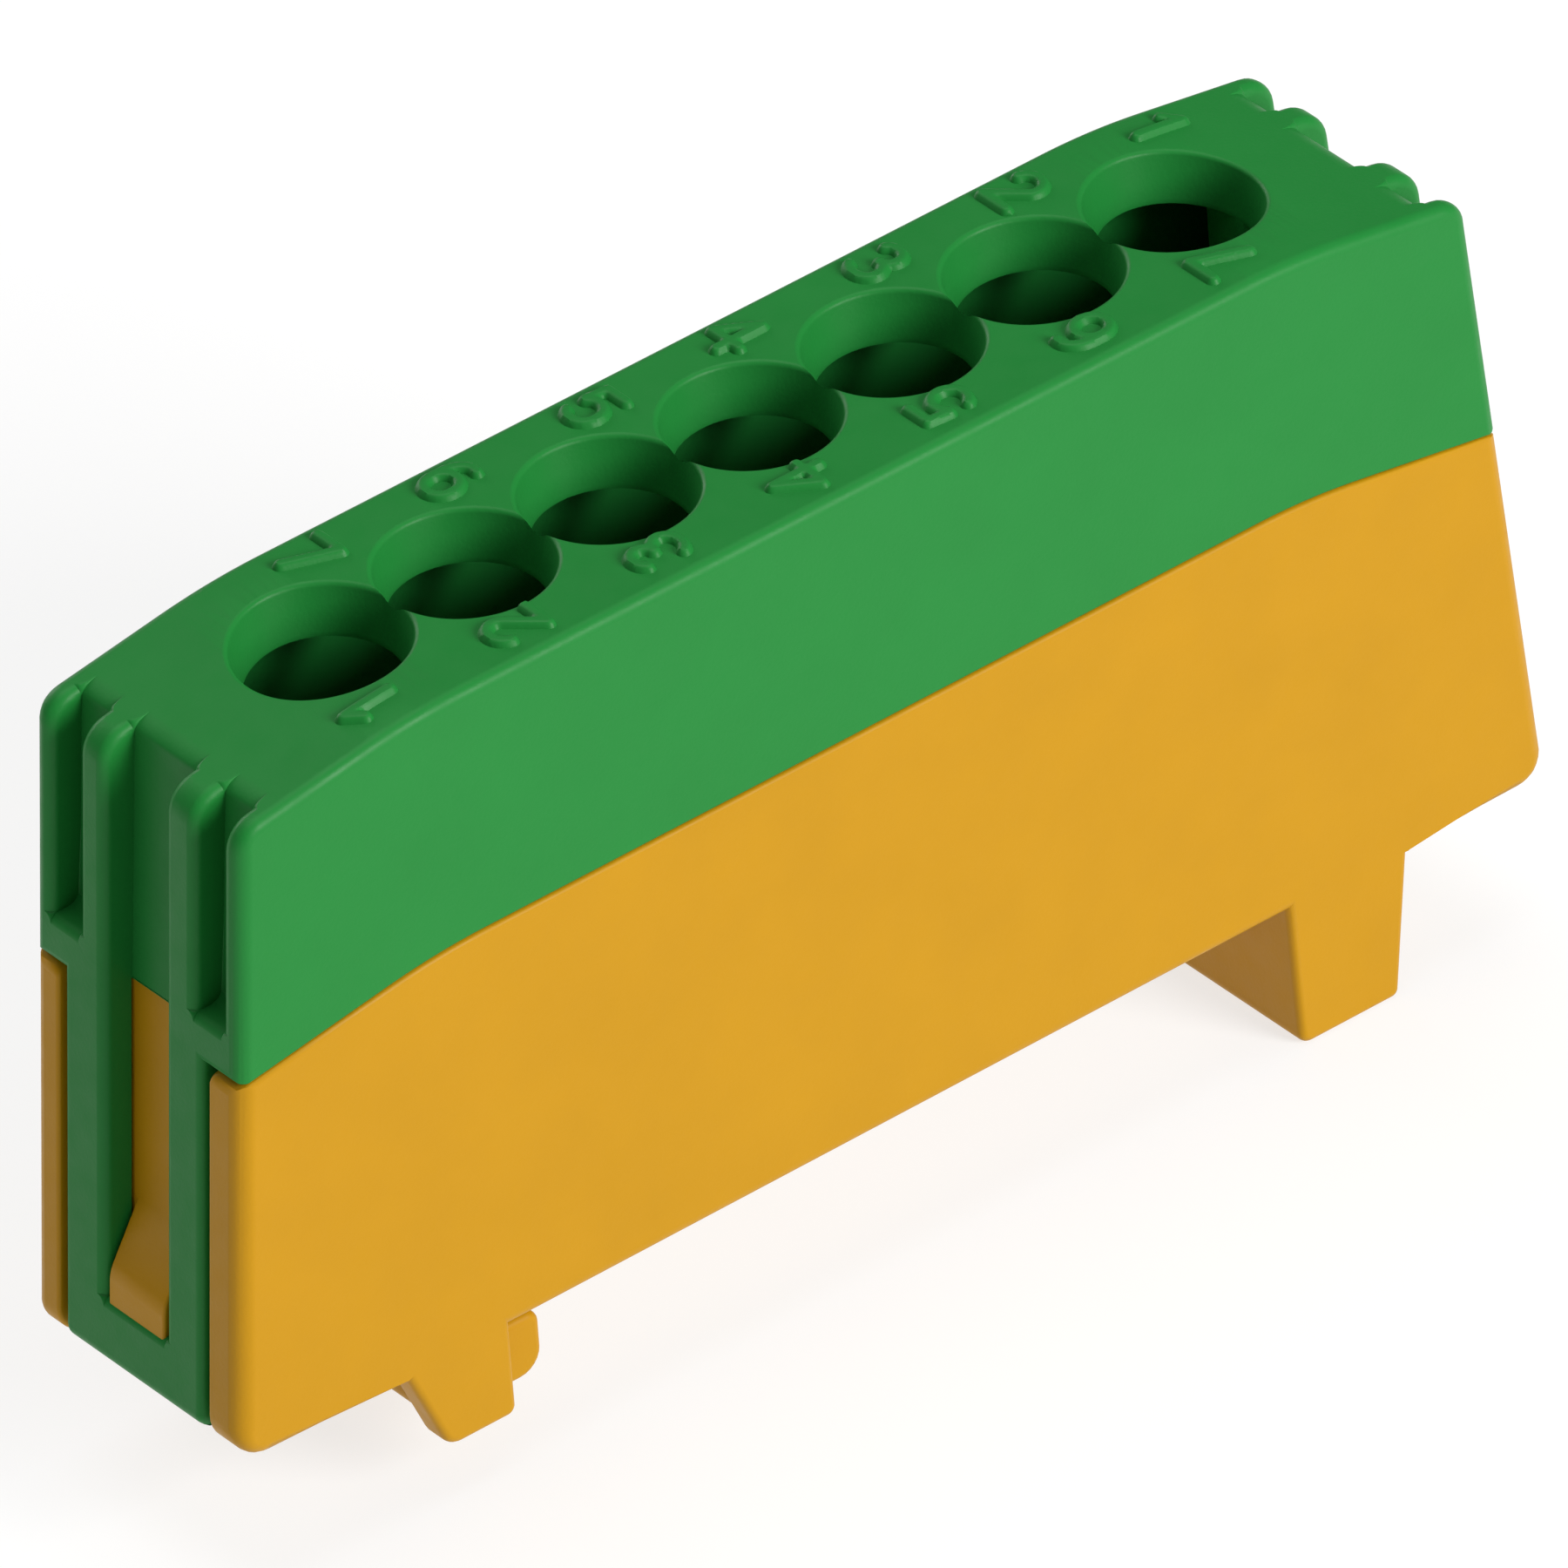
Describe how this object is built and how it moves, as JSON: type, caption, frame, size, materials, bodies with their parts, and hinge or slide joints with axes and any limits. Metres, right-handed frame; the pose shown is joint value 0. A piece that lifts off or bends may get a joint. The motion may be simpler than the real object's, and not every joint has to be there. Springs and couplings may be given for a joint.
{
  "type": "din rail terminal block",
  "caption": "Protective earth terminal block for a 35 mm rail: green cover with a row of driver holes, yellow base with snap foot, brass bar and clamp screws.",
  "frame": {"origin": "on the underside where the rail seats, midway between the faces of the two feet and midway through the depth", "axes": "+X along the row of ways, from the snap foot to the fixed foot; +Y along the rail, towards the wire entries; +Z away from the rail"},
  "size_m": [0.0594, 0.0116, 0.033],
  "materials": {
    "green_plastic": "satin moulded",
    "yellow_plastic": "satin moulded",
    "latch_plastic": "satin moulded",
    "brass": "machined",
    "screw_steel": "zinc plated",
    "pad_steel": "nickel plated"
  },
  "bodies": {
    "block": {"base": "yellow_plastic", "cap": "green_plastic", "busbar": "brass"},
    "pad_1": {"clamp_pad_1": "pad_steel"},
    "screw_1": {"clamp_screw_1": "screw_steel"},
    "pad_2": {"clamp_pad_2": "pad_steel"},
    "screw_2": {"clamp_screw_2": "screw_steel"},
    "pad_3": {"clamp_pad_3": "pad_steel"},
    "screw_3": {"clamp_screw_3": "screw_steel"},
    "pad_4": {"clamp_pad_4": "pad_steel"},
    "screw_4": {"clamp_screw_4": "screw_steel"},
    "pad_5": {"clamp_pad_5": "pad_steel"},
    "screw_5": {"clamp_screw_5": "screw_steel"},
    "pad_6": {"clamp_pad_6": "pad_steel"},
    "screw_6": {"clamp_screw_6": "screw_steel"},
    "pad_7": {"clamp_pad_7": "pad_steel"},
    "screw_7": {"clamp_screw_7": "screw_steel"},
    "latch": {"rail_latch": "latch_plastic"}
  },
  "joints": [
    {"name": "pad_1_travel", "type": "slide", "parent": "block", "child": "pad_1", "axis": [0, 0, -1], "range_m": [0, 0.004]},
    {"name": "screw_1_turn", "type": "hinge", "parent": "pad_1", "child": "screw_1", "pos_m": [-0.01905, 0, 0.0142], "axis": [0, 0, -1], "range_deg": [0, 1800]},
    {"name": "pad_2_travel", "type": "slide", "parent": "block", "child": "pad_2", "axis": [0, 0, -1], "range_m": [0, 0.004]},
    {"name": "screw_2_turn", "type": "hinge", "parent": "pad_2", "child": "screw_2", "pos_m": [-0.0127, 0, 0.0142], "axis": [0, 0, -1], "range_deg": [0, 1800]},
    {"name": "pad_3_travel", "type": "slide", "parent": "block", "child": "pad_3", "axis": [0, 0, -1], "range_m": [0, 0.004]},
    {"name": "screw_3_turn", "type": "hinge", "parent": "pad_3", "child": "screw_3", "pos_m": [-0.00635, 0, 0.0142], "axis": [0, 0, -1], "range_deg": [0, 1800]},
    {"name": "pad_4_travel", "type": "slide", "parent": "block", "child": "pad_4", "axis": [0, 0, -1], "range_m": [0, 0.004]},
    {"name": "screw_4_turn", "type": "hinge", "parent": "pad_4", "child": "screw_4", "pos_m": [0, 0, 0.0142], "axis": [0, 0, -1], "range_deg": [0, 1800]},
    {"name": "pad_5_travel", "type": "slide", "parent": "block", "child": "pad_5", "axis": [0, 0, -1], "range_m": [0, 0.004]},
    {"name": "screw_5_turn", "type": "hinge", "parent": "pad_5", "child": "screw_5", "pos_m": [0.00635, 0, 0.0142], "axis": [0, 0, -1], "range_deg": [0, 1800]},
    {"name": "pad_6_travel", "type": "slide", "parent": "block", "child": "pad_6", "axis": [0, 0, -1], "range_m": [0, 0.004]},
    {"name": "screw_6_turn", "type": "hinge", "parent": "pad_6", "child": "screw_6", "pos_m": [0.0127, 0, 0.0142], "axis": [0, 0, -1], "range_deg": [0, 1800]},
    {"name": "pad_7_travel", "type": "slide", "parent": "block", "child": "pad_7", "axis": [0, 0, -1], "range_m": [0, 0.004]},
    {"name": "screw_7_turn", "type": "hinge", "parent": "pad_7", "child": "screw_7", "pos_m": [0.01905, 0, 0.0142], "axis": [0, 0, -1], "range_deg": [0, 1800]},
    {"name": "latch_release", "type": "slide", "parent": "block", "child": "latch", "axis": [-1, 0, 0], "range_m": [0, 0.0026], "stiffness_N_per_m": 1500}
  ],
  "couplings": [
    {"joint": "screw_1_turn", "follows": "pad_1_travel", "rad_per_m": 7853.9},
    {"joint": "screw_2_turn", "follows": "pad_2_travel", "rad_per_m": 7853.9},
    {"joint": "screw_3_turn", "follows": "pad_3_travel", "rad_per_m": 7853.9},
    {"joint": "screw_4_turn", "follows": "pad_4_travel", "rad_per_m": 7853.9},
    {"joint": "screw_5_turn", "follows": "pad_5_travel", "rad_per_m": 7853.9},
    {"joint": "screw_6_turn", "follows": "pad_6_travel", "rad_per_m": 7853.9},
    {"joint": "screw_7_turn", "follows": "pad_7_travel", "rad_per_m": 7853.9}
  ]
}
